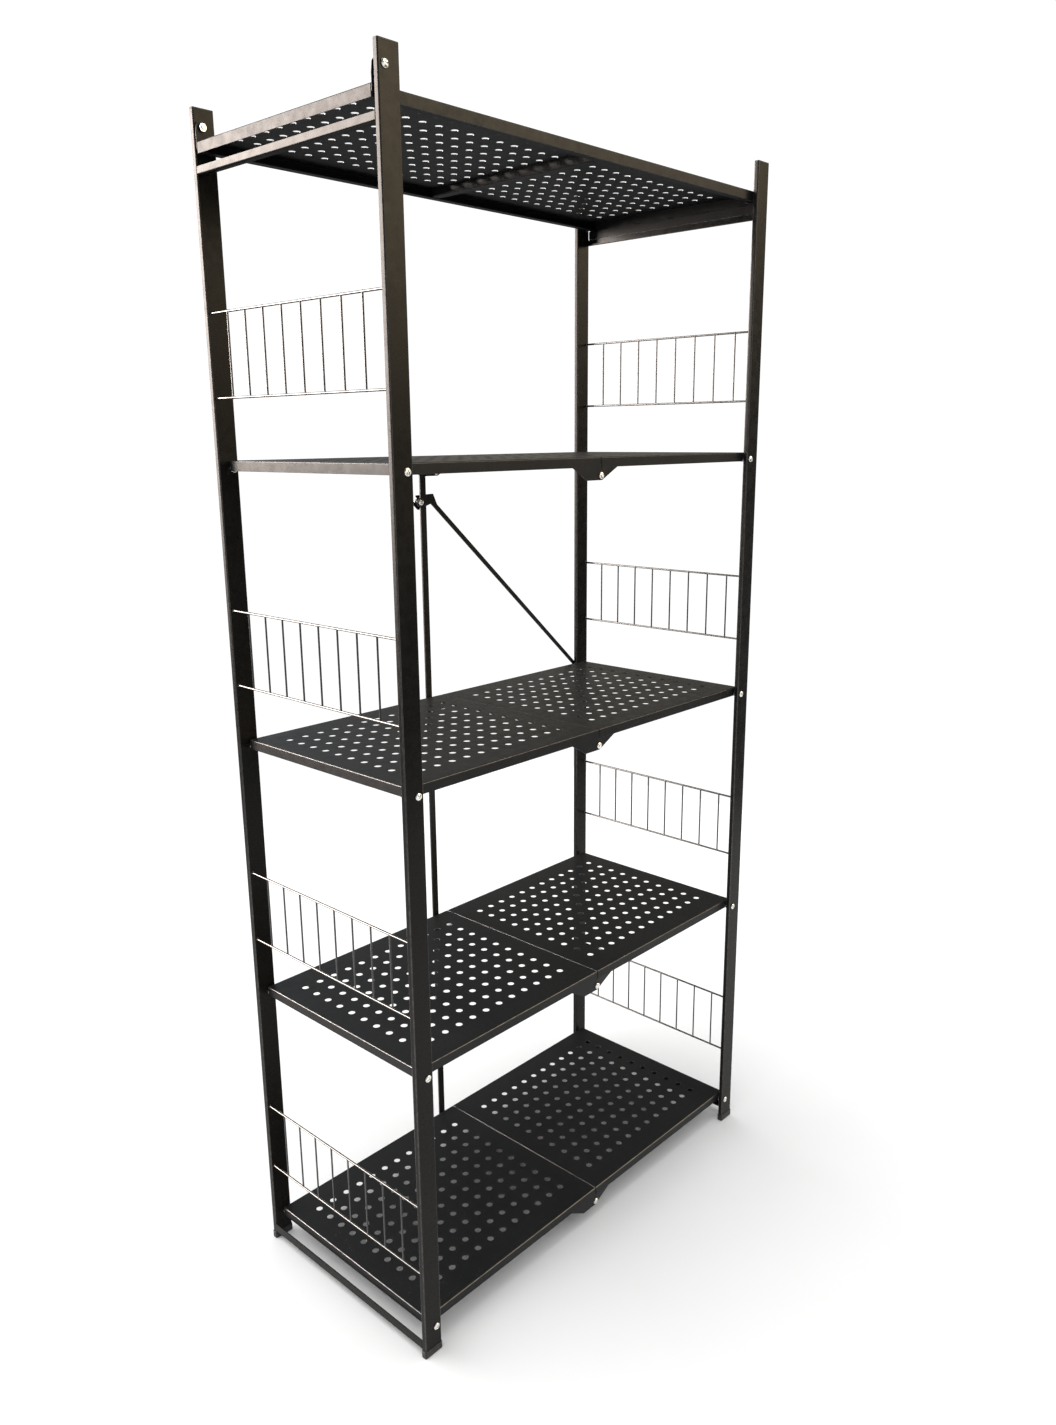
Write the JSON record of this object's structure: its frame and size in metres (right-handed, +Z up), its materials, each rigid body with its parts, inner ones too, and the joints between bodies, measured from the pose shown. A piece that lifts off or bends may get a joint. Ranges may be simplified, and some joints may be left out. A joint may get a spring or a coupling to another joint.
{
  "type": "folding shelving rack",
  "caption": "Free-standing folding steel rack: perforated shelves hinge up at the middle between two side frames with wire guards; the top shelf swings up.",
  "frame": {"origin": "centre of the footprint, on the floor", "axes": "+Z up, +X from the left side frame to the right one, +Y from the open front to the back"},
  "size_m": [0.772, 0.3716, 1.645],
  "materials": {
    "frame_coat": "satin powder coat",
    "shelf_coat": "fine-textured powder coat",
    "wire_coat": "gloss coat",
    "link_coat": "satin powder coat",
    "zinc": "bright zinc plate",
    "cap_plastic": "matt"
  },
  "bodies": {
    "left_frame": {"post_front_left": "frame_coat", "post_back_left": "frame_coat", "post_caps_left": "cap_plastic", "feet_left": "cap_plastic", "top_rung_left": "frame_coat", "bottom_rung_left": "frame_coat", "guard_1_left": "wire_coat", "guard_2_left": "wire_coat", "guard_3_left": "wire_coat", "guard_4_left": "wire_coat", "pivot_screws_left": "zinc", "pivot_nuts_left": "zinc", "pivot_spacers_left": "zinc", "top_pivot_screws": "zinc", "top_pivot_nuts": "zinc"},
    "right_frame": {"post_front_right": "frame_coat", "post_back_right": "frame_coat", "post_caps_right": "cap_plastic", "feet_right": "cap_plastic", "top_rung_right": "frame_coat", "bottom_rung_right": "frame_coat", "guard_1_right": "wire_coat", "guard_2_right": "wire_coat", "guard_3_right": "wire_coat", "guard_4_right": "wire_coat", "pivot_screws_right": "zinc", "pivot_nuts_right": "zinc", "pivot_spacers_right": "zinc", "brace_screw": "zinc"},
    "left_half_2": {"shelf_2_left": "shelf_coat", "hinge_pins_2": "zinc", "link_stud_2": "zinc"},
    "right_half_2": {"shelf_2_right": "shelf_coat", "hinge_plates_2": "link_coat"},
    "left_half_3": {"shelf_3_left": "shelf_coat", "hinge_pins_3": "zinc", "link_stud_3": "zinc"},
    "right_half_3": {"shelf_3_right": "shelf_coat", "hinge_plates_3": "link_coat"},
    "left_half_4": {"shelf_4_left": "shelf_coat", "hinge_pins_4": "zinc", "link_stud_4": "zinc"},
    "right_half_4": {"shelf_4_right": "shelf_coat", "hinge_plates_4": "link_coat"},
    "left_half_5": {"shelf_5_left": "shelf_coat", "hinge_pins_5": "zinc", "link_stud_5": "zinc"},
    "right_half_5": {"shelf_5_right": "shelf_coat", "hinge_plates_5": "link_coat"},
    "link_bar": {"link_bar": "link_coat", "latch_stud": "zinc"},
    "brace": {"brace": "link_coat"},
    "top_shelf": {"top_shelf": "shelf_coat", "top_shelf_ears": "shelf_coat", "top_shelf_rib": "shelf_coat", "top_shelf_end": "shelf_coat"}
  },
  "joints": [
    {"name": "fold", "type": "hinge", "parent": "left_frame", "child": "left_half_3", "pos_m": [-0.364, 0, 0.818], "axis": [0, -1, 0], "range_deg": [0, 88]},
    {"name": "centre_hinge_3", "type": "hinge", "parent": "left_half_3", "child": "right_half_3", "pos_m": [0, 0, 0.803], "axis": [0, 1, 0], "range_deg": [0, 176]},
    {"name": "right_pivot_3", "type": "hinge", "parent": "right_half_3", "child": "right_frame", "pos_m": [0.364, 0, 0.818], "axis": [0, -1, 0], "range_deg": [0, 88]},
    {"name": "left_pivot_2", "type": "hinge", "parent": "left_frame", "child": "left_half_2", "pos_m": [-0.364, 0, 1.206], "axis": [0, -1, 0], "range_deg": [0, 88]},
    {"name": "right_pivot_2", "type": "hinge", "parent": "right_frame", "child": "right_half_2", "pos_m": [0.364, 0, 1.206], "axis": [0, 1, 0], "range_deg": [0, 88]},
    {"name": "left_pivot_4", "type": "hinge", "parent": "left_frame", "child": "left_half_4", "pos_m": [-0.364, 0, 0.43], "axis": [0, -1, 0], "range_deg": [0, 88]},
    {"name": "right_pivot_4", "type": "hinge", "parent": "right_frame", "child": "right_half_4", "pos_m": [0.364, 0, 0.43], "axis": [0, 1, 0], "range_deg": [0, 88]},
    {"name": "left_pivot_5", "type": "hinge", "parent": "left_frame", "child": "left_half_5", "pos_m": [-0.364, 0, 0.042], "axis": [0, -1, 0], "range_deg": [0, 88]},
    {"name": "right_pivot_5", "type": "hinge", "parent": "right_frame", "child": "right_half_5", "pos_m": [0.364, 0, 0.042], "axis": [0, 1, 0], "range_deg": [0, 88]},
    {"name": "link_pivot", "type": "hinge", "parent": "left_half_3", "child": "link_bar", "pos_m": [-0.02, 0, 0.803], "axis": [0, 1, 0], "range_deg": [0, 88]},
    {"name": "brace_pivot", "type": "hinge", "parent": "right_frame", "child": "brace", "pos_m": [0.364, 0, 0.818], "axis": [0, 1, 0], "range_deg": [0, 44]},
    {"name": "top_shelf_lift", "type": "hinge", "parent": "left_frame", "child": "top_shelf", "pos_m": [-0.376, 0, 1.621], "axis": [0, -1, 0], "range_deg": [0, 270]}
  ],
  "couplings": [
    {"joint": "centre_hinge_3", "follows": "fold", "ratio": 2},
    {"joint": "right_pivot_3", "follows": "fold", "ratio": 1},
    {"joint": "left_pivot_2", "follows": "fold", "ratio": 1},
    {"joint": "right_pivot_2", "follows": "fold", "ratio": 1},
    {"joint": "left_pivot_4", "follows": "fold", "ratio": 1},
    {"joint": "right_pivot_4", "follows": "fold", "ratio": 1},
    {"joint": "left_pivot_5", "follows": "fold", "ratio": 1},
    {"joint": "right_pivot_5", "follows": "fold", "ratio": 1},
    {"joint": "link_pivot", "follows": "fold", "ratio": 1},
    {"joint": "brace_pivot", "follows": "fold", "ratio": 0.5}
  ]
}
